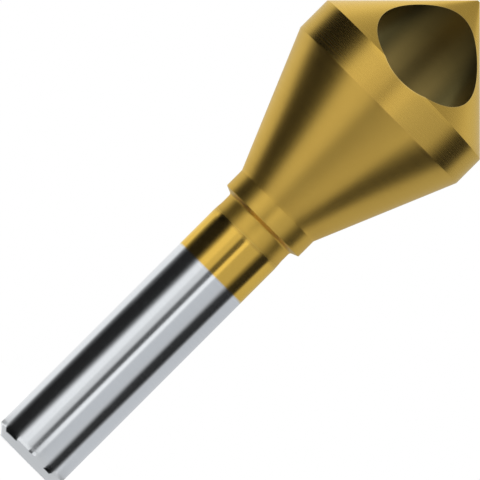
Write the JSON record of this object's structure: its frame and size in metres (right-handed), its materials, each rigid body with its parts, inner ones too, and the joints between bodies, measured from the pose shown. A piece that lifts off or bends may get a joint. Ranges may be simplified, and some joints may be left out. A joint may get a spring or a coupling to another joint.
{
  "type": "countersink bit",
  "caption": "Ninety-degree countersink and deburring bit: gold-coated double-cone head with a slanted cross hole, on a plain round shank.",
  "frame": {"origin": "centre of the shank's end face, which the bit stands on", "axes": "+Z along the bit's axis from the shank to the nose; the mouth of the cross hole, with its cutting edge, faces -Y; +X to the right of someone who looks at the mouth"},
  "size_m": [0.031, 0.031, 0.0906],
  "materials": {
    "coated_tool_steel": "satin golden nitride coating on the head, neck and first stretch of shank; bare ground steel on the rest of the shank"
  },
  "bodies": {
    "root": {"countersink_bit": "coated_tool_steel"}
  },
  "joints": []
}
